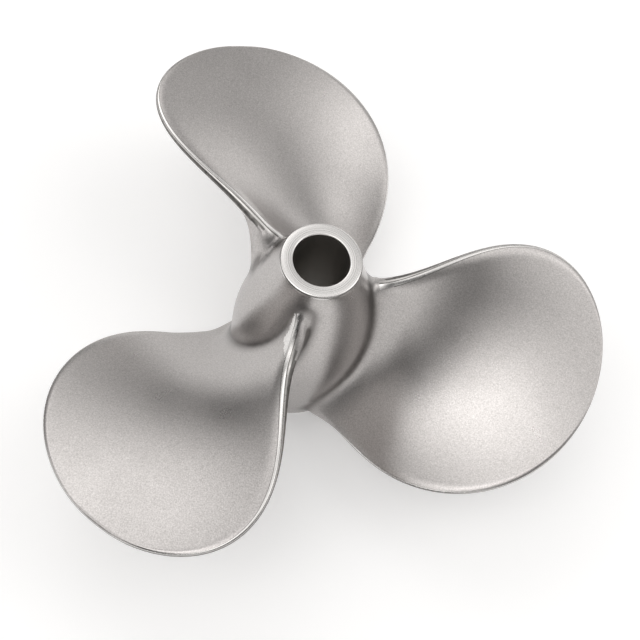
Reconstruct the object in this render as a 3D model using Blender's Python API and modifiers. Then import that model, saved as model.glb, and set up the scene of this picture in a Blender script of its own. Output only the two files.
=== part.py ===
"""Three-bladed propeller of a small craft, cast in one piece and turned at both hub ends.

It stands on the wide end of its hub, with the shaft axis on Z and the origin on
that axis, in the plane of the wide end face.
"""
import math

import bmesh
import bpy
from mathutils import Vector

# Hub, in metres
HUB_LENGTH = 0.162
NARROW_END_RADIUS = 0.0262
COLLAR_LENGTH = 0.003
WIDE_END_RADIUS = 0.042
BARREL_RADIUS = 0.046
BARREL_HEIGHT = 0.066
NARROW_SIDE_POWER = 1.6
WIDE_SIDE_POWER = 0.8
EDGE_CHAMFER = 0.0012

# Shaft bore
BORE_RADIUS = 0.018
BORE_CHAMFER = 0.001

# Where the blades stand round the hub, in degrees: the photographed ones aren't quite even
BLADE_ANGLES = (0.0, 118.0, 243.0)

# Blade form: each row of values runs from the root to the tip and is blended as a Bezier curve
TIP_RADIUS = 0.201
ROOT_RADIUS = 0.0305
HALF_CHORD = (0.070, 0.054, 0.125, 0.164, 0.269)
SKEW_DEGREES = (-8.2, -2.5, 7.7)
MID_CHORD_HEIGHT = (0.063, 0.094, 0.106)
PITCH = (0.545, 0.335, 0.280)
BACK_SWELL = (0.011, 0.006, 0.002, 0.001)
TRAILING_RIM_RADIUS = (0.0065, 0.0022, 0.0018, 0.0016)
LEADING_RIM_RADIUS = (0.0028, 0.0018, 0.0016, 0.0016)
LOFT_START_RADIUS = 0.026

# Radius of the root fillets, each at the leading and at the trailing side of the blade
FACE_FILLETS = (0.032, 0.009)
BACK_FILLETS = (0.018, 0.026)
RIM_FILLETS = (0.006, 0.022)

# Fineness of the mesh
HUB_SEGMENTS = 64
BARREL_STEPS = 12
BORE_SEGMENTS = 48
BLADE_ROWS = 26
FACE_POINTS = 11
RIM_STEPS = 4
FLARE_HALVINGS = 14

STEEL_COLOUR = (0.62, 0.60, 0.58, 1.0)


def clear_scene():
    for item in list(bpy.data.objects):
        bpy.data.objects.remove(item)


def new_collection(name):
    collection = bpy.data.collections.new(name)
    bpy.context.scene.collection.children.link(collection)
    return collection


def cast_steel():
    """Satin cast steel."""
    material = bpy.data.materials.new("cast_steel")
    material.use_nodes = True
    shader = material.node_tree.nodes["Principled BSDF"]
    shader.inputs["Base Color"].default_value = STEEL_COLOUR
    shader.inputs["Metallic"].default_value = 1.0
    shader.inputs["Roughness"].default_value = 0.38
    return material


def bezier(values, u):
    """Blend of root-to-tip values at u, 0 at the root and 1 at the tip."""
    degree = len(values) - 1
    return sum(math.comb(degree, i) * u**i * (1 - u) ** (degree - i) * value
               for i, value in enumerate(values))


def barrel_radius(height):
    """Outer radius of the cast hub, which rounds off both ways from its widest place."""
    above = height > BARREL_HEIGHT
    end_radius = NARROW_END_RADIUS if above else WIDE_END_RADIUS
    span = HUB_LENGTH - COLLAR_LENGTH - BARREL_HEIGHT if above else BARREL_HEIGHT
    power = NARROW_SIDE_POWER if above else WIDE_SIDE_POWER
    share = min(abs(height - BARREL_HEIGHT) / span, 1.0)
    return end_radius + (BARREL_RADIUS - end_radius) * (1 - share**2) ** power


def turned(name, profile, segments, collection):
    """Solid of revolution from (radius, height) points, top to bottom down the outer side."""
    mesh = bpy.data.meshes.new(name)
    edges = [(i, i + 1) for i in range(len(profile) - 1)]
    mesh.from_pydata([(radius, 0, height) for radius, height in profile], edges, [])
    item = bpy.data.objects.new(name, mesh)
    collection.objects.link(item)
    screw = item.modifiers.new("turn", "SCREW")
    screw.steps = screw.render_steps = segments
    screw.use_merge_vertices = True
    screw.merge_threshold = 0.00001
    screw.use_smooth_shade = True
    return item


def hub_profile():
    """Hub from its narrow end down: face, chamfer, short collar, barrel, chamfer, wide face."""
    top, foot = HUB_LENGTH - COLLAR_LENGTH, EDGE_CHAMFER
    middle, half = (top + foot) / 2, (top - foot) / 2
    heights = [middle + half * math.cos(math.pi * i / BARREL_STEPS) for i in range(BARREL_STEPS + 1)]
    return ([(0, HUB_LENGTH), (NARROW_END_RADIUS - EDGE_CHAMFER, HUB_LENGTH),
             (NARROW_END_RADIUS, HUB_LENGTH - EDGE_CHAMFER)]
            + [(barrel_radius(height), height) for height in heights]
            + [(barrel_radius(foot) - EDGE_CHAMFER, 0), (0, 0)])


def bore_profile():
    """Cutter for the bore, flared at both ends for the chamfers."""
    past = 0.01
    flare = BORE_RADIUS + BORE_CHAMFER + past
    return [(0, HUB_LENGTH + past), (flare, HUB_LENGTH + past),
            (BORE_RADIUS, HUB_LENGTH - BORE_CHAMFER), (BORE_RADIUS, BORE_CHAMFER),
            (flare, -past), (0, -past)]


def blade_point(radius, along, off, angle):
    """Place of a point of a blade section: along the chord, and off it towards the face."""
    u = max(0.0, (radius - ROOT_RADIUS) / (TIP_RADIUS - ROOT_RADIUS))
    lead = math.atan2(bezier(PITCH, u), 2 * math.pi * radius)
    round_hub = along * math.cos(lead) - off * math.sin(lead)
    turn = angle + math.radians(bezier(SKEW_DEGREES, u)) + round_hub / radius
    height = bezier(MID_CHORD_HEIGHT, u) + along * math.sin(lead) + off * math.cos(lead)
    return Vector((radius * math.cos(turn), radius * math.sin(turn), height))


def fillet_flare(rise, fillet):
    """How far a circular root fillet spreads at a rise above the hub."""
    rise = min(max(rise, 0.0), fillet)
    return fillet - math.sqrt(fillet**2 - (fillet - rise) ** 2)


def rim_fillet(start, middle, end, share):
    """Root fillet on the way round a rim, from one side of the blade to the other."""
    bow = math.sin(math.pi * share)
    return (start + (end - start) * share) * (1 - bow) + middle * bow


def section_outline(radius):
    """Closed foil outline with a flat face, a round back and round rims.

    Each point is given as (along, off, outward direction, radius of its root fillet).
    """
    u = max(0.0, (radius - ROOT_RADIUS) / (TIP_RADIUS - ROOT_RADIUS))
    half = math.sqrt(1 - u) * bezier(HALF_CHORD, u)
    to_tip = TIP_RADIUS - radius
    rims = [bezier(TRAILING_RIM_RADIUS, u), bezier(LEADING_RIM_RADIUS, u)]
    rims = [rim * math.sqrt(1 - (1 - min(to_tip / rim, 1)) ** 2) for rim in rims]
    rims = [min(rim, half * 0.9) for rim in rims]
    swell = bezier(BACK_SWELL, u) * min(to_tip / rims[0], 1) if rims[0] > 0 else 0
    trailing, leading = half - rims[0], rims[1] - half


    def across(i):
        share = i / (FACE_POINTS - 1)
        return (1 - math.cos(math.pi * share)) / 2

    points = []
    for i in range(FACE_POINTS):
        share = across(i)
        rim = rims[1] + (rims[0] - rims[1]) * share
        fillet = FACE_FILLETS[1] + (FACE_FILLETS[0] - FACE_FILLETS[1]) * (1 - share) ** 2
        points.append((leading + (trailing - leading) * share, rim, (0, 1), fillet))
    for i in range(1, RIM_STEPS):
        turn = math.pi * i / RIM_STEPS
        way = (math.sin(turn), math.cos(turn))
        fillet = rim_fillet(FACE_FILLETS[1], RIM_FILLETS[1], BACK_FILLETS[1], i / RIM_STEPS)
        points.append((trailing + rims[0] * way[0], rims[0] * way[1], way, fillet))
    for i in reversed(range(FACE_POINTS)):
        share = across(i)
        rim = rims[1] + (rims[0] - rims[1]) * share
        off = -rim - swell * 4 * share * (1 - share)
        fillet = BACK_FILLETS[0] + (BACK_FILLETS[1] - BACK_FILLETS[0]) * share
        points.append((leading + (trailing - leading) * share, off, (0, -1), fillet))
    for i in range(1, RIM_STEPS):
        turn = math.pi * i / RIM_STEPS
        way = (-math.sin(turn), -math.cos(turn))
        fillet = rim_fillet(BACK_FILLETS[0], RIM_FILLETS[0], FACE_FILLETS[0], i / RIM_STEPS)
        points.append((leading + rims[1] * way[0], rims[1] * way[1], way, fillet))
    return points


def flared_point(radius, along, off, way, fillet, angle):
    """Point of a section pushed out by its root fillet, found by halving the range of the push."""
    low, high = 0.0, fillet
    for _ in range(FLARE_HALVINGS):
        push = (low + high) / 2
        point = blade_point(radius, along + push * way[0], off + push * way[1], angle)
        if fillet_flare(radius - barrel_radius(point.z), fillet) > push:
            low = push
        else:
            high = push
    return point


def blade_ring(radius, angle):
    """Points of one blade section, swollen where it runs into the hub."""
    return [flared_point(radius, *place, angle) for place in section_outline(radius)]


def row_radius(row):
    """Radius of a section, with the sections closest together at the root and the tip."""
    share = (1 - math.cos(math.pi * row / BLADE_ROWS)) / 2
    return LOFT_START_RADIUS + (TIP_RADIUS - LOFT_START_RADIUS) * share


def lofted_blade(name, angle, collection):
    """Closed loft of the blade's sections from inside the hub to a point at the tip."""
    mesh = bmesh.new()
    rings = [[mesh.verts.new(point) for point in blade_ring(row_radius(row), angle)]
             for row in range(BLADE_ROWS)]
    for inner, outer in zip(rings, rings[1:]):
        for i in range(len(inner)):
            j = (i + 1) % len(inner)
            mesh.faces.new((inner[i], inner[j], outer[j], outer[i]))
    tip = mesh.verts.new(blade_point(TIP_RADIUS, 0, 0, angle))
    last = rings[-1]
    for i in range(len(last)):
        mesh.faces.new((last[i], last[(i + 1) % len(last)], tip))
    mesh.faces.new(reversed(rings[0]))
    bmesh.ops.recalc_face_normals(mesh, faces=mesh.faces)
    bmesh.ops.triangulate(mesh, faces=mesh.faces)
    data = bpy.data.meshes.new(name)
    mesh.to_mesh(data)
    mesh.free()
    item = bpy.data.objects.new(name, data)
    collection.objects.link(item)
    return item


def below_hub(name, collection):
    """Cutter for whatever of the blade roots hangs below the wide end face."""
    depth = 0.04
    mesh = bmesh.new()
    bmesh.ops.create_cube(mesh, size=1)
    bmesh.ops.scale(mesh, vec=(0.5, 0.5, depth), verts=mesh.verts)
    bmesh.ops.translate(mesh, vec=(0, 0, -depth / 2), verts=mesh.verts)
    data = bpy.data.meshes.new(name)
    mesh.to_mesh(data)
    mesh.free()
    item = bpy.data.objects.new(name, data)
    collection.objects.link(item)
    return item


def combine(body, tool, operation):
    """Boolean of a body with a tool that stays out of the render."""
    tool.hide_render = True
    tool.display_type = "WIRE"
    step = body.modifiers.new(operation.lower() + "_" + tool.name, "BOOLEAN")
    step.operation = operation
    step.solver = "EXACT"
    step.object = tool


def build():
    clear_scene()
    parts = new_collection("propeller_parts")
    tools = new_collection("propeller_tools")
    propeller = turned("propeller", hub_profile(), HUB_SEGMENTS, parts)
    propeller.data.materials.append(cast_steel())
    for number, angle in enumerate(BLADE_ANGLES):
        blade = lofted_blade(f"blade_{number + 1}", math.radians(angle), tools)
        combine(propeller, blade, "UNION")
    combine(propeller, below_hub("floor_cut", tools), "DIFFERENCE")
    combine(propeller, turned("bore_cut", bore_profile(), BORE_SEGMENTS, tools), "DIFFERENCE")


build()
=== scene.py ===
import math

import bpy
import numpy as np
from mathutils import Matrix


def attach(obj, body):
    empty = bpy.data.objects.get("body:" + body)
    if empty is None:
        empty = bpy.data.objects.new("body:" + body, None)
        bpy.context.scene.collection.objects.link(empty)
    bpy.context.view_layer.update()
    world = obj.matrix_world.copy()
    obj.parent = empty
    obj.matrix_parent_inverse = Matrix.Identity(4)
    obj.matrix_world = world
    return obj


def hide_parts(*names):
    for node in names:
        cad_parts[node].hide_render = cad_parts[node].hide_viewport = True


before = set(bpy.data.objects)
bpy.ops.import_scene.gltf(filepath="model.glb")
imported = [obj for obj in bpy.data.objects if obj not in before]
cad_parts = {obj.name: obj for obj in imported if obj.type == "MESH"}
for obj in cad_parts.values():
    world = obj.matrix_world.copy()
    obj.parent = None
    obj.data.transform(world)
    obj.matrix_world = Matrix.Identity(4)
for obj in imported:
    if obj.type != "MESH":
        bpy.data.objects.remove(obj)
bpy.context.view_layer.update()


# Camera. It looks down on the narrow end of the hub from in front, tilted off the shaft axis and
# rolled a little, as in the photograph.
CAMERA_PLACE = (0.0242, -0.3826, 0.8782)
CAMERA_TILT = math.radians(26.62)
CAMERA_ROLL = math.radians(21.17)
CAMERA_LENS = 73.32
CAMERA_FILM_WIDTH = 36.0
CAMERA_SHIFT = (-0.0403, -0.0225)
CAMERA_NEAREST = 0.02

camera_data = bpy.data.cameras.new("camera")
camera_data.sensor_width = CAMERA_FILM_WIDTH
camera_data.lens = CAMERA_LENS
camera_data.shift_x, camera_data.shift_y = CAMERA_SHIFT
camera_data.clip_start = CAMERA_NEAREST
camera = bpy.data.objects.new("camera", camera_data)
camera.location = CAMERA_PLACE
camera.rotation_mode = "ZYX"
camera.rotation_euler = (CAMERA_TILT, 0.0, CAMERA_ROLL)
bpy.context.scene.collection.objects.link(camera)
bpy.context.scene.camera = camera


# Hub. The middle of the one casting: a barrel that narrows to a short collar. Both ends are faced
# flat in the lathe with their edges broken, and it is bored right through for the shaft. All
# lengths are in metres.
HUB_LENGTH = 0.162
COLLAR_RADIUS = 0.0262
COLLAR_LENGTH = 0.003
WIDE_END_RADIUS = 0.042
BARREL_RADIUS = 0.0475
BARREL_HEIGHT = 0.068
NARROW_SIDE_POWER = 1.35
WIDE_SIDE_POWER = 0.8
OUTER_EDGE_BREAK = 0.0012
BORE_RADIUS = 0.018
BORE_EDGE_BREAK = 0.001
HUB_SEGMENTS = 192
HUB_RINGS = 90
EDGE_STEPS = 4
EDGE_SHADE_LINE_STEPS = 2

# Finishes of the casting's faces, in the order of its materials. The blades' skin is told from the
# hub's only until the roots are dressed, and is then blasted steel too.
# The line finish is painted shade: dark lines along the turns of the rims and round the collar's edge
# The rim finish is polished, and on one root it also paints a highlight
BLASTED, TURNED, BORED, RIM_AND_HIGHLIGHT, LAND, SHADE_LINE, BLADE_SKIN = range(7)


def hub_radius(height):
    """Outer radius of the cast barrel, which rounds off both ways from its widest place."""
    height = np.asarray(height, float)
    above = height > BARREL_HEIGHT
    end = np.where(above, COLLAR_RADIUS, WIDE_END_RADIUS)
    span = np.where(above, HUB_LENGTH - COLLAR_LENGTH - BARREL_HEIGHT, BARREL_HEIGHT)
    power = np.where(above, NARROW_SIDE_POWER, WIDE_SIDE_POWER)
    share = np.minimum(np.abs(height - BARREL_HEIGHT) / span, 1.0)
    return end + (BARREL_RADIUS - end) * (1 - share**2) ** power


def broken_edge(radius, height, outward, upward, size):
    """Rounded edge break from the end face round to the side, as (radius, height) points."""
    turns = [math.pi / 2 * i / EDGE_STEPS for i in range(EDGE_STEPS + 1)]
    return [(radius - outward * size * (1 - math.sin(turn)), height - upward * size * (1 - math.cos(turn)))
            for turn in turns]


def hub_outline():
    """Closed outline of half the hub and the finish of each stretch, once round from the collar."""
    foot = OUTER_EDGE_BREAK
    top = HUB_LENGTH - COLLAR_LENGTH
    share = (1 - np.cos(np.pi * np.arange(HUB_RINGS + 1) / HUB_RINGS)) / 2
    side = [(float(hub_radius(height)), float(height)) for height in top + (foot - top) * share]
    outline = broken_edge(COLLAR_RADIUS, HUB_LENGTH, 1, 1, OUTER_EDGE_BREAK)
    # The collar's edge break ends in the line finish, a painted shade line round the turned ring
    finish = [TURNED] * (EDGE_STEPS - EDGE_SHADE_LINE_STEPS) + [SHADE_LINE] * EDGE_SHADE_LINE_STEPS + [TURNED]
    outline += side
    finish += [BLASTED] * (len(side) - 1) + [TURNED]
    outline += broken_edge(side[-1][0], 0.0, 1, -1, OUTER_EDGE_BREAK)[::-1][1:]
    outline += broken_edge(BORE_RADIUS, 0.0, -1, -1, BORE_EDGE_BREAK)
    finish += [TURNED] * (2 * EDGE_STEPS) + [BORED]
    outline += broken_edge(BORE_RADIUS, HUB_LENGTH, -1, 1, BORE_EDGE_BREAK)[::-1]
    finish += [TURNED] * (EDGE_STEPS + 1)
    return outline, finish


def mesh_object(name, points, faces, finishes):
    """Object with this mesh, and with its finish written on each face."""
    mesh = bpy.data.meshes.new(name)
    mesh.from_pydata(points, [], faces)
    mesh.polygons.foreach_set("material_index", finishes)
    return bpy.data.objects.new(name, mesh)


def turned_hub(name):
    """Hub as a closed ring of quads round the shaft axis."""
    outline, finish = hub_outline()
    count = len(outline)
    points, faces = [], []
    for segment in range(HUB_SEGMENTS):
        turn = 2 * math.pi * segment / HUB_SEGMENTS
        points += [(radius * math.cos(turn), radius * math.sin(turn), height) for radius, height in outline]
        here, there = segment * count, (segment + 1) % HUB_SEGMENTS * count
        for i in range(count):
            j = (i + 1) % count
            faces.append((here + i, here + j, there + j, there + i))
    return mesh_object(name, points, faces, finish * HUB_SEGMENTS)


propeller = turned_hub("propeller_casting")
bpy.context.scene.collection.objects.link(propeller)


# Blades. Three of one pattern, cast with the hub: wide, swept and twisted, flat on the driving face
# and rounded behind, with ground and polished rims and wide root fillets. First come the values
# that each blade has of its own, and then those that run from the root of a blade to its tip.
BLADE_ANGLES = (-0.6, 116.6, 243.0)
TIP_RADII = (0.201, 0.203, 0.2035)
WIDTH_SHARES = (1.0, 1.0, 1.015)

HALF_CHORD = (0.070, 0.054, 0.125, 0.164, 0.269)
SKEW_DEGREES = (-8.2, -2.5, 7.7)
MID_CHORD_HEIGHT = (0.063, 0.094, 0.106)
PITCH = (0.545, 0.335, 0.280)
BACK_SWELL = (0.011, 0.006, 0.002, 0.001)
TRAILING_RIM_RADIUS = (0.0056, 0.0030, 0.0024, 0.0022)
LEADING_RIM_RADIUS = (0.0028, 0.0020, 0.0020, 0.0022)

# The sizes that all blades share: where the loft starts inside the hub, where the root counts as
# being, and how the driving face rolls down to its rims
LOFT_START_RADIUS = 0.026
ROOT_RADIUS = 0.0305
RIM_MOST_OF_HALF_CHORD = 0.9
FACE_ROLL_WIDTH = 0.006
FACE_ROLL_DROP = 0.0007
FACE_ROLL_MOST_OF_RIM = 0.4
BLADE_ROWS = 110
FACE_POINTS = 54

# Roots are dressed by hand and differ from blade to blade: the fillets, and how far each edge runs
# on as it nears the hub. Fillets at the leading side are those of the rim and of the back, and at
# the trailing side those of the driving face, the rim and the back.
LEADING_FACE_FILLET = 0.052
LEADING_FILLETS = ((0.010, 0.022), (0.020, 0.026), (0.036, 0.026))
TRAILING_FILLETS = ((0.020, 0.008, 0.012), (0.020, 0.010, 0.038), (0.007, 0.004, 0.006))
LEADING_ROUNDS = (0.0, 0.006, 0.018)
LEADING_ROUND_POWER = 6
LEADING_RUN_ON = (0.002, 0.010, 0.014)
LEADING_REACH = 0.060
TRAILING_RUN_ON = (-0.004, 0.006, 0.015)
TRAILING_REACH = (0.110, 0.110, 0.036)
TRAILING_LIFT = (0.0, 0.0, 0.007)
TRAILING_LIFT_POWER = 3
FACE_STEEPNESS, BACK_STEEPNESS = 0.2, 0.5
FLARE_HALVINGS = 24

# Rims are polished only from some way out of the hub. On one root a wedge of the driving face
# beside the trailing rim is given the polished finish as a painted highlight: the widest it gets in
# strips of the face, and the radii between which each strip is bright.
TRAILING_POLISHED_FROM = (0.043, 0.033, 0.031)
LEADING_POLISHED_FROM = 0.06
HIGHLIGHT_WEDGE_BLADE = 2
HIGHLIGHT_WEDGE_STRIPS = 9
HIGHLIGHT_WEDGE_START, HIGHLIGHT_WEDGE_START_STEP = 0.030, 0.0015
HIGHLIGHT_WEDGE_END, HIGHLIGHT_WEDGE_END_STEP = 0.058, 0.002

# Rim from the driving face round to the back, in shares of its half thickness: how far out, how
# far up, the finish of the strip that follows, and the radius at which that strip starts
# The line strips are painted shade: dark lines where the rim turns and along its very edge
RIM_PROFILE = ((0.00, 1.00, SHADE_LINE, 0.054), (0.14, 0.98, RIM_AND_HIGHLIGHT, 0.0), (0.42, 0.87, RIM_AND_HIGHLIGHT, 0.0),
               (0.70, 0.70, SHADE_LINE, 0.038), (0.80, 0.56, LAND, 0.042), (0.92, 0.24, SHADE_LINE, 0.048),
               (0.97, -0.15, SHADE_LINE, 0.054), (0.93, -0.48, SHADE_LINE, 0.060), (0.84, -0.64, RIM_AND_HIGHLIGHT, 0.066),
               (0.48, -0.90, RIM_AND_HIGHLIGHT, 0.072), (0.00, -1.00, BLADE_SKIN, 0.0))

# Points of a section: shares of the chord on the face and on the back, and the points between them
# round a rim, with the way each faces and its share of the turn from face to back
FACE_SHARES = (1 - np.cos(np.pi * np.arange(FACE_POINTS) / (FACE_POINTS - 1))) / 2
RIM_OUT, RIM_UP = np.array([row[:2] for row in RIM_PROFILE[1:-1]]).T
RIM_FACES_OUT, RIM_FACES_UP = np.array((RIM_OUT, RIM_UP)) / np.hypot(RIM_OUT, RIM_UP)
RIM_TURNS = np.arctan2(RIM_OUT, RIM_UP) / np.pi


def root_to_tip(values, u):
    """Bezier blend of the values, u being 0 at the root and 1 at the tip."""
    degree = len(values) - 1
    return sum(math.comb(degree, i) * u**i * (1 - u) ** (degree - i) * value
               for i, value in enumerate(values))


def blade_share(radius, tip):
    """How far out along a blade these radii lie, from 0 at the root to 1 at the tip."""
    return np.maximum(0.0, (radius - ROOT_RADIUS) / (tip - ROOT_RADIUS))


def on_blade(number, radius, along, off):
    """Point of a section: along its chord, and off it towards the driving face."""
    u = blade_share(radius, TIP_RADII[number])
    lead = np.arctan2(root_to_tip(PITCH, u), 2 * np.pi * radius)
    round_hub = along * np.cos(lead) - off * np.sin(lead)
    turn = np.radians(BLADE_ANGLES[number] + root_to_tip(SKEW_DEGREES, u)) + round_hub / radius
    height = root_to_tip(MID_CHORD_HEIGHT, u) + along * np.sin(lead) + off * np.cos(lead)
    return np.stack(np.broadcast_arrays(radius * np.cos(turn), radius * np.sin(turn), height), -1)


def run_on(radius, length, reach):
    """How far an edge runs on along the chord as it nears the hub."""
    return length * np.clip(1 - (radius - ROOT_RADIUS) / reach, 0.0, 1.0) ** 2


def rim_size(sizes, u, to_tip, half):
    """Half thickness of a rim, which rounds off at the tip and leaves room for the face."""
    size = root_to_tip(sizes, u)
    size = size * np.sqrt(1 - (1 - np.minimum(to_tip / size, 1)) ** 2)
    return np.minimum(size, half * RIM_MOST_OF_HALF_CHORD)


def blade_sections(radius, number):
    """Sections at these radii, as distances along the chord and off it: the face from the leading
    side to the trailing one, that rim, the back the other way and the leading rim."""
    u = blade_share(radius, TIP_RADII[number])
    half = WIDTH_SHARES[number] * np.sqrt(np.maximum(1 - u, 0)) * root_to_tip(HALF_CHORD, u)
    to_tip = TIP_RADII[number] - radius
    trail_rim = rim_size(TRAILING_RIM_RADIUS, u, to_tip, half)
    lead_rim = rim_size(LEADING_RIM_RADIUS, u, to_tip, half)
    trailing = half - trail_rim + run_on(radius, TRAILING_RUN_ON[number], TRAILING_REACH[number])
    leading = lead_rim - half - run_on(radius, LEADING_RUN_ON[number], LEADING_REACH)
    rim = lead_rim + (trail_rim - lead_rim) * FACE_SHARES
    chord = leading + (trailing - leading) * FACE_SHARES

    drop = np.minimum(FACE_ROLL_DROP, rim * FACE_ROLL_MOST_OF_RIM)
    roll = drop * np.maximum(0, 1 - np.minimum(chord - leading, trailing - chord) / FACE_ROLL_WIDTH) ** 2
    swell = root_to_tip(BACK_SWELL, u) * np.minimum(to_tip / trail_rim, 1)
    bulge = swell * (1 - (2 * FACE_SHARES - 1) ** 2)
    lift = run_on(radius, TRAILING_LIFT[number], TRAILING_REACH[number])
    lifted = lift * FACE_SHARES**TRAILING_LIFT_POWER
    trail_up = trail_rim * RIM_UP - drop[:, -1:] * np.maximum(RIM_UP, 0)
    lead_up = lead_rim * RIM_UP - drop[:, :1] * np.maximum(RIM_UP, 0)
    along = [chord, trailing + trail_rim * RIM_OUT, chord[:, ::-1], (leading - lead_rim * RIM_OUT)[:, ::-1]]
    off = [rim - roll + lifted, trail_up + lift, (lifted - rim - bulge)[:, ::-1], lead_up[:, ::-1]]
    return np.concatenate(along, 1), np.concatenate(off, 1)


def section_facing():
    """Which way each point of a section faces, along the chord and off it."""
    flat = np.zeros(FACE_POINTS)
    along = [flat, RIM_FACES_OUT, flat, -RIM_FACES_OUT[::-1]]
    off = [flat + 1, RIM_FACES_UP, flat - 1, RIM_FACES_UP[::-1]]
    return np.concatenate(along), np.concatenate(off)


def fillet_over_rim(start, middle, end, share):
    """Fillet round a rim, from one side's size by way of the size at its middle."""
    bow = np.sin(np.pi * share)
    return (start + (end - start) * share) * (1 - bow) + middle * bow


def root_fillets(number):
    """Size of the root fillet at each point of a section, and of the round at its foot."""
    trail_face, trail_mid, trail_back = TRAILING_FILLETS[number]
    lead_mid, lead_back = LEADING_FILLETS[number]
    lead_turns = 1 - RIM_TURNS[::-1]
    fillets = [trail_face + (LEADING_FACE_FILLET - trail_face) * (1 - FACE_SHARES) ** 2,
               fillet_over_rim(trail_face, trail_mid, trail_back, RIM_TURNS),
               (lead_back + (trail_back - lead_back) * FACE_SHARES)[::-1],
               fillet_over_rim(lead_back, lead_mid, LEADING_FACE_FILLET, lead_turns)]
    rounds = [LEADING_ROUNDS[number] * (1 - FACE_SHARES) ** LEADING_ROUND_POWER, 0 * RIM_TURNS,
              0 * FACE_SHARES, LEADING_ROUNDS[number] * lead_turns]
    return np.concatenate(fillets), np.concatenate(rounds)


def fillet_spread(rise, fillet, steepness, round_in):
    """How far a root spreads at a rise above the hub, which it meets in a soft crease or a round."""
    flare = fillet * steepness * (1 - np.clip(rise / fillet, 0.0, 1.0)) ** 2
    return flare + round_in - np.sqrt(round_in**2 - (round_in - np.clip(rise, 0.0, round_in)) ** 2)


def blade_points(radius, number):
    """Points of the sections, pushed outwards by the fillets at the root. The push changes how high
    a point is above the hub, and so is closed in on by halves."""
    along, off = blade_sections(radius, number)
    out_along, out_off = section_facing()
    fillet, round_in = root_fillets(number)
    steepness = (FACE_STEEPNESS + BACK_STEEPNESS) / 2 + out_off * (FACE_STEEPNESS - BACK_STEEPNESS) / 2
    low, high = np.zeros_like(along), np.broadcast_to(fillet + round_in, along.shape)
    for _ in range(FLARE_HALVINGS):
        push = (low + high) / 2
        points = on_blade(number, radius, along + push * out_along, off + push * out_off)
        hub = hub_radius(points[..., 2])
        inside = np.clip((radius - LOFT_START_RADIUS) / (hub - LOFT_START_RADIUS), 0.0, 1.0)
        grow = inside * fillet_spread(radius - hub, fillet, steepness, round_in) > push
        low, high = np.where(grow, push, low), np.where(grow, high, push)
    return points


def strip_finishes(number):
    """Finish of each strip round a section, and the radii between which the strip has it."""
    tip = TIP_RADII[number]
    rim = [row[2:] for row in RIM_PROFILE[:-1]]
    face = [(BLADE_SKIN, 0.0, tip)] * (FACE_POINTS - 1)
    trailing = [(finish, max(start, TRAILING_POLISHED_FROM[number]), tip) for finish, start in rim]
    back = list(face)
    leading = [(finish, max(start, LEADING_POLISHED_FROM), tip) for finish, start in rim[::-1]]
    # On one blade a wedge of face strips takes the rim's polished finish, as a painted highlight
    if number == HIGHLIGHT_WEDGE_BLADE:
        for i in range(HIGHLIGHT_WEDGE_STRIPS):
            face[-1 - i] = (RIM_AND_HIGHLIGHT, HIGHLIGHT_WEDGE_START + HIGHLIGHT_WEDGE_START_STEP * i, HIGHLIGHT_WEDGE_END - HIGHLIGHT_WEDGE_END_STEP * i)
    return face + trailing + back + leading


def cast_blade(number):
    """Blade as a closed loft of its sections, from inside the hub to a point at the tip."""
    tip = TIP_RADII[number]
    row = np.arange(BLADE_ROWS)[:, None]
    radius = LOFT_START_RADIUS + (tip - LOFT_START_RADIUS) * (1 - np.cos(np.pi * row / BLADE_ROWS)) / 2
    points = [tuple(point) for point in blade_points(radius, number).reshape(-1, 3)]
    points.append(tuple(on_blade(number, np.array(tip), 0.0, 0.0)))
    strips = strip_finishes(number)
    count = len(strips)
    faces, finishes = [], []
    edge = FACE_POINTS + len(RIM_TURNS) // 2
    for i in range(count // 2):
        corners = (edge - i - 1, edge - i, edge + i, edge + i + 1)
        faces.append(tuple(dict.fromkeys(corner % count for corner in corners)))
        finishes.append(BLADE_SKIN)
    for inner in range(BLADE_ROWS - 1):
        here, there = inner * count, (inner + 1) * count
        for i, (finish, start, end) in enumerate(strips):
            j = (i + 1) % count
            faces.append((here + j, here + i, there + i, there + j))
            finishes.append(finish if start < radius[inner, 0] < end else BLADE_SKIN)
    last = (BLADE_ROWS - 1) * count
    for i, (finish, _, end) in enumerate(strips):
        faces.append((last + (i + 1) % count, last + i, BLADE_ROWS * count))
        finishes.append(finish if end == tip else BLADE_SKIN)
    return mesh_object(f"blade_{number + 1}", points, faces, finishes)


blades = [cast_blade(number) for number in range(len(BLADE_ANGLES))]


# One casting. The blades are joined to the hub, what hangs below the wide end is faced off with
# it, and the roots are dressed smooth where they run into the barrel.
FACING_DEPTH = 0.08
FACING_HALF_WIDTH = 0.5

# The dressing works in a band on both sides of a root, fades out over a share of that band, and
# stops short of the hub's end faces. The corners get painted shade, a darker colour in a band of their own.
DRESSED_BAND = 0.007
DRESSED_FADE = 0.5
DRESSING_PASSES = 40
DRESSING_STEP = 0.5
UNDRESSED_ENDS = 0.004
ROOTS_REACH = 0.021
ROOT_POINTS_AT_ONCE = 500
CORNER_SHADE_BAND = 0.008
SHARP_EDGE = math.radians(35)


def joined(body, tool, operation):
    """Boolean of the casting with a blade or cutter, written straight into the casting's mesh."""
    bpy.context.scene.collection.objects.link(tool)
    step = body.modifiers.new(operation, "BOOLEAN")
    step.operation = operation
    step.solver = "MANIFOLD"
    step.object = tool
    graph = bpy.context.evaluated_depsgraph_get()
    mesh = bpy.data.meshes.new_from_object(body.evaluated_get(graph))
    body.modifiers.clear()
    body.data = mesh
    bpy.data.objects.remove(tool)


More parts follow.
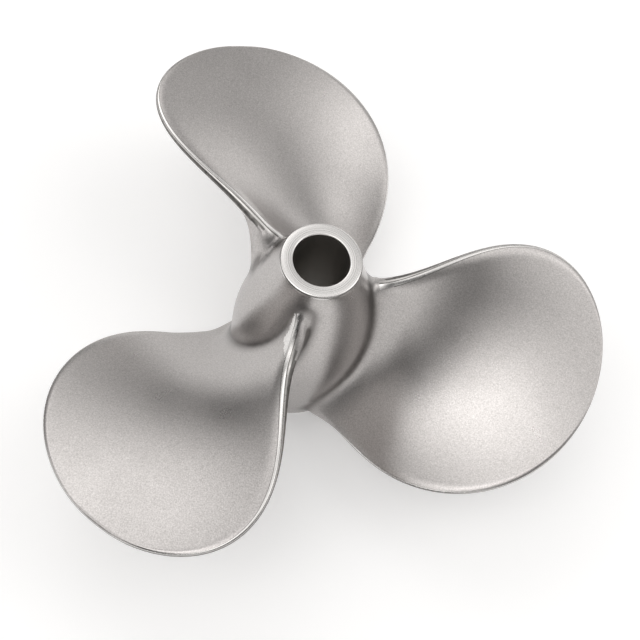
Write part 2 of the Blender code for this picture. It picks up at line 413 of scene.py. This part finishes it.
def facing_cutter():
    """Block that takes away what is below the wide end and leaves a turned face."""
    wide = FACING_HALF_WIDTH
    corners = [(x, y, z) for z in (-FACING_DEPTH, 0.0)
               for x, y in ((-wide, -wide), (wide, -wide), (wide, wide), (-wide, wide))]
    sides = [(3, 2, 1, 0), (4, 5, 6, 7), (0, 1, 5, 4), (1, 2, 6, 5), (2, 3, 7, 6), (3, 0, 4, 7)]
    return mesh_object("facing_cutter", corners, sides, [TURNED] * len(sides))


def off_roots(mesh, place):
    """How far each point round the hub is from the lines where the blades meet it."""
    on_hub, on_blades = np.zeros(len(place), bool), np.zeros(len(place), bool)
    for face in mesh.polygons:
        if face.material_index not in (BORED, SHADE_LINE):
            marks = on_hub if face.material_index in (BLASTED, TURNED) else on_blades
            marks[list(face.vertices)] = True
    meeting = place[on_hub & on_blades]
    away = np.full(len(place), np.inf)
    close = np.hypot(place[:, 0], place[:, 1]) < BARREL_RADIUS + ROOTS_REACH
    for start in range(0, len(meeting), ROOT_POINTS_AT_ONCE):
        gaps = place[close][:, None, :] - meeting[None, start:start + ROOT_POINTS_AT_ONCE, :]
        away[close] = np.minimum(away[close], np.sqrt((gaps**2).sum(2)).min(1))
    return away


def dress_roots(mesh):
    """Smooths the casting along the roots by moving each point towards the middle of those next to
    it, and marks how deep in a corner it lies."""
    place = np.empty(len(mesh.vertices) * 3)
    mesh.vertices.foreach_get("co", place)
    place = place.reshape(-1, 3)
    away = off_roots(mesh, place)
    weight = np.clip((1 - away / DRESSED_BAND) / DRESSED_FADE, 0, 1)
    weight[(place[:, 2] < UNDRESSED_ENDS) | (place[:, 2] > HUB_LENGTH - UNDRESSED_ENDS)] = 0
    ends = np.empty(len(mesh.edges) * 2, int)
    mesh.edges.foreach_get("vertices", ends)
    one, other = ends.reshape(-1, 2).T
    neighbours = np.bincount(one, minlength=len(place)) + np.bincount(other, minlength=len(place))
    for _ in range(DRESSING_PASSES):
        total = np.zeros_like(place)
        for axis in range(3):
            total[:, axis] = (np.bincount(one, place[other, axis], len(place))
                              + np.bincount(other, place[one, axis], len(place)))
        place += weight[:, None] * DRESSING_STEP * (total / neighbours[:, None] - place)
    mesh.vertices.foreach_set("co", place.ravel())
    # How deep in a corner each point lies, which sets how much painted shade darkens it
    corner = mesh.attributes.new("corner", "FLOAT", "POINT")
    corner.data.foreach_set("value", np.clip(1 - away / CORNER_SHADE_BAND, 0, 1) ** 2)


# Finishes. Each is bare steel, with grains of so many marks to the metre that stay with the metal.
# The middle of a grain's range, which is where most of it lies, is what a finish uses.
GRAIN_LOW = 0.3
GRAIN_HIGH = 0.7


def feed(tree, socket, value):
    """Gives a node's input a number, a colour or the output of another node."""
    if isinstance(value, bpy.types.NodeSocket):
        tree.links.new(value, socket)
    else:
        socket.default_value = value


def outputs(tree, kind, values, **settings):
    """Outputs of a new node of this kind, set and fed as given."""
    node = tree.nodes.new("ShaderNode" + kind)
    for setting, choice in settings.items():
        setattr(node, setting, choice)
    for socket, value in values.items():
        feed(tree, node.inputs[socket], value)
    return node.outputs


def grain(tree, per_metre, detail=2.0, roughness=0.5):
    """Even grain all through the metal."""
    place = outputs(tree, "TexCoord", {})["Object"]
    values = {"Vector": place, "Scale": per_metre, "Detail": detail, "Roughness": roughness}
    return outputs(tree, "TexNoise", values)["Fac"]


def tool_rings(tree, place, per_metre, detail):
    """Grain that changes in one direction only, as a tool leaves it."""
    values = {"W": place, "Scale": per_metre, "Detail": detail}
    return outputs(tree, "TexNoise", values, noise_dimensions="1D")["Fac"]


def spread(tree, value, low, high):
    """Grain stretched to run from low to high."""
    values = {"Value": value, "From Min": GRAIN_LOW, "From Max": GRAIN_HIGH, "To Min": low, "To Max": high}
    return outputs(tree, "MapRange", values)["Result"]


def blended(tree, value, first, second):
    """Blend of two colours."""
    return outputs(tree, "Mix", {"Factor": value, "A": first, "B": second}, data_type="RGBA")["Result"]


def roughened(tree, value, depth, strength, under=None):
    """Fine relief, which may lie over a coarser one."""
    values = {"Height": value, "Distance": depth, "Strength": strength}
    if under:
        values["Normal"] = under
    return outputs(tree, "Bump", values)["Normal"]


def new_finish(name):
    """New material and its node tree."""
    finish = bpy.data.materials.new(name)
    finish.use_nodes = True
    return finish, finish.node_tree


def bare_metal(finish, colour, roughness, normal=None):
    """Sets the shader of a finish, and returns the finish."""
    inputs = finish.node_tree.nodes["Principled BSDF"].inputs
    feed(finish.node_tree, inputs["Metallic"], 1.0)
    feed(finish.node_tree, inputs["Base Color"], colour)
    feed(finish.node_tree, inputs["Roughness"], roughness)
    if normal:
        feed(finish.node_tree, inputs["Normal"], normal)
    return finish


# Bead-blasted steel: warm grey, with a fine even grain and faint clouding. In the corners between
# blade and hub it is painted darker, as painted shade that deepens into each corner.
BLASTED_DARK = (0.375, 0.357, 0.348, 1.0)
BLASTED_LIGHT = (0.6, 0.577, 0.565, 1.0)
CORNER_SHADE = (0.22, 0.208, 0.202, 1.0)
BEAD_MARKS = 1150
CLOUDS = 28
SKIN_WAVES = 60


def blasted_steel():
    finish, tree = new_finish("blasted_steel")
    beads = grain(tree, BEAD_MARKS, detail=3.0, roughness=0.65)
    clouds = grain(tree, CLOUDS, detail=4.0, roughness=0.55)
    waves = roughened(tree, grain(tree, SKIN_WAVES), depth=0.0004, strength=0.12)
    # How deep in a corner each point lies, which blends in the painted shade
    corner = outputs(tree, "Attribute", {}, attribute_name="corner")["Fac"]
    blasted = blended(tree, spread(tree, beads, low=0, high=1), BLASTED_DARK, BLASTED_LIGHT)
    return bare_metal(finish, colour=blended(tree, corner, blasted, CORNER_SHADE),
                      roughness=spread(tree, clouds, low=0.27, high=0.33),
                      normal=roughened(tree, beads, depth=0.0002, strength=0.4, under=waves))


# Rims ground and polished by hand after blasting: brighter and smoother than the skin. The same
# finish is a painted highlight in a wedge on one blade's face at its trailing root
POLISHED_AND_HIGHLIGHT = (0.74, 0.725, 0.71, 1.0)
POLISH_MARKS = 420
GRINDING_WAVES = 160


def polished_rim_and_highlight():
    finish, tree = new_finish("polished_rim_and_highlight")
    marks = grain(tree, POLISH_MARKS, detail=3.0)
    waves = grain(tree, GRINDING_WAVES)
    return bare_metal(finish, colour=POLISHED_AND_HIGHLIGHT, roughness=spread(tree, marks, low=0.2, high=0.3),
                      normal=roughened(tree, waves, depth=0.0002, strength=0.07))


# Land round the very edge of a blade, filed square and left duller than the rim beside it
FILED = (0.55, 0.535, 0.52, 1.0)
FILE_MARKS = 700
FILE_RIDGES = 500


def filed_land():
    finish, tree = new_finish("filed_land")
    marks = grain(tree, FILE_MARKS, detail=3.0)
    ridges = grain(tree, FILE_RIDGES)
    return bare_metal(finish, colour=FILED, roughness=spread(tree, marks, low=0.26, high=0.4),
                      normal=roughened(tree, ridges, depth=0.0001, strength=0.2))


# Fine dark line of painted shade where the edges turn: between rim and skin, along the land, and
# round the outer edge of the turned ring
SHADE_LINE_DARK = (0.14, 0.134, 0.128, 1.0)
SHADE_LINE_LIGHT = (0.26, 0.25, 0.24, 1.0)
SHADE_LINE_PATCHES = 300


def painted_shade_line():
    finish, tree = new_finish("painted_shade_line")
    patches = spread(tree, grain(tree, SHADE_LINE_PATCHES), low=0, high=1)
    return bare_metal(finish, colour=blended(tree, patches, SHADE_LINE_DARK, SHADE_LINE_LIGHT), roughness=0.4)


# Faces and edges left by the lathe, with the fine rings of the tool
TURNED_DARK = (0.69, 0.676, 0.662, 1.0)
TURNED_LIGHT = (0.87, 0.853, 0.837, 1.0)
TURNING_RINGS = 1600


def turned_steel():
    finish, tree = new_finish("turned_steel")
    place = outputs(tree, "TexCoord", {})["Object"]
    flat = outputs(tree, "VectorMath", {0: place, 1: (1.0, 1.0, 0.0)}, operation="MULTIPLY")["Vector"]
    radius = outputs(tree, "VectorMath", {0: flat}, operation="LENGTH")["Value"]
    rings = tool_rings(tree, radius, TURNING_RINGS, detail=3.0)
    steel = blended(tree, spread(tree, rings, low=0, high=1), TURNED_DARK, TURNED_LIGHT)
    return bare_metal(finish, colour=steel, roughness=spread(tree, rings, low=0.2, high=0.32),
                      normal=roughened(tree, rings, depth=0.00015, strength=0.3))


# Wall of the bore: darker, with the rings of the boring bar down its length
BORE_WALL = (0.52, 0.50, 0.475, 1.0)
BORING_RINGS = 1400


def bored_steel():
    finish, tree = new_finish("bored_steel")
    place = outputs(tree, "TexCoord", {})["Object"]
    height = outputs(tree, "SeparateXYZ", {"Vector": place})["Z"]
    rings = tool_rings(tree, height, BORING_RINGS, detail=2.0)
    return bare_metal(finish, colour=BORE_WALL, roughness=spread(tree, rings, low=0.28, high=0.42),
                      normal=roughened(tree, rings, depth=0.0001, strength=0.3))


for blade in blades:
    joined(propeller, blade, "UNION")
joined(propeller, facing_cutter(), "DIFFERENCE")
casting = propeller.data
dress_roots(casting)
finish_of = np.empty(len(casting.polygons), np.int32)
casting.polygons.foreach_get("material_index", finish_of)
finish_of[finish_of == BLADE_SKIN] = BLASTED
casting.materials.clear()
for finish in (blasted_steel(), turned_steel(), bored_steel(), polished_rim_and_highlight(), filed_land(), painted_shade_line()):
    casting.materials.append(finish)
casting.polygons.foreach_set("material_index", finish_of)
casting.polygons.foreach_set("use_smooth", [True] * len(casting.polygons))
casting.set_sharp_from_angle(angle=SHARP_EDGE)
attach(propeller, "root")
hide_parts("propeller")


# Floor. A plain white sheet that the propeller stands on, on the wide end of its hub. A faint glow
# keeps it nearly as white as the ground of the photograph.
FLOOR_HALF_WIDTH = 20.0
FLOOR_WHITE = (0.93, 0.93, 0.93, 1.0)
FLOOR_ROUGHNESS = 0.9
FLOOR_GLOW_COLOUR = (1.0, 1.0, 1.0, 1.0)
FLOOR_GLOW = 0.2

floor_corners = [(x * FLOOR_HALF_WIDTH, y * FLOOR_HALF_WIDTH, 0.0)
                 for x, y in ((-1, -1), (1, -1), (1, 1), (-1, 1))]
floor = mesh_object("floor", floor_corners, [(0, 1, 2, 3)], [0])
bpy.context.scene.collection.objects.link(floor)
floor_paint, floor_tree = new_finish("floor_paint")
floor_inputs = floor_tree.nodes["Principled BSDF"].inputs
for socket, value in (("Base Color", FLOOR_WHITE), ("Roughness", FLOOR_ROUGHNESS),
                      ("Emission Color", FLOOR_GLOW_COLOUR), ("Emission Strength", FLOOR_GLOW)):
    feed(floor_tree, floor_inputs[socket], value)
floor.data.materials.append(floor_paint)


# Studio light. A dark room with broad soft glows in it, like lit sheets. Each is given by its
# bearing and rise round the propeller and its half width, in degrees, and by its brightness. They
# add up where they overlap.
GLOW_TINT = (1.0, 0.99, 0.98, 1.0)
GLOWS = (("overhead", -119, 73, 14, 2.4),
         ("over_front", -144, 53, 14, 1.9),
         ("over_left", 131, 46, 17, 2.15),
         ("over_right", 30, 56, 14, 2.1),
         ("over_back", 63, 79, 14, 0.6),
         ("left_wall", 191, 24, 15, 1.6),
         ("right_wall", 14, 25, 14, 1.6),
         ("front_wall", -76, 17, 14, 1.0),
         ("back_low", 75, 6, 25, 1.25),
         ("right_low", -42, 17, 18, 1.2))

room = bpy.data.worlds.new("room")
room.use_nodes = True
sky = room.node_tree
way = outputs(sky, "TexCoord", {})["Generated"]
brightness = 0.0
for name, bearing, rise, half_width, strength in GLOWS:
    bearing, rise = math.radians(bearing), math.radians(rise)
    middle = (math.cos(rise) * math.cos(bearing), math.cos(rise) * math.sin(bearing), math.sin(rise))
    sharpness = math.log(2) / (1 - math.cos(math.radians(half_width)))
    towards = outputs(sky, "VectorMath", {0: way, 1: middle}, operation="DOT_PRODUCT", name=name)["Value"]
    fall = outputs(sky, "Math", {0: towards, 1: sharpness, 2: -sharpness}, operation="MULTIPLY_ADD")[0]
    glow = outputs(sky, "Math", {0: fall}, operation="EXPONENT")[0]
    brightness = outputs(sky, "Math", {0: glow, 1: strength, 2: brightness}, operation="MULTIPLY_ADD")[0]
feed(sky, sky.nodes["Background"].inputs["Color"], GLOW_TINT)
feed(sky, sky.nodes["Background"].inputs["Strength"], brightness)
bpy.context.scene.world = room

# Colours are shown as they are, with no film look
bpy.context.scene.view_settings.view_transform = "Standard"
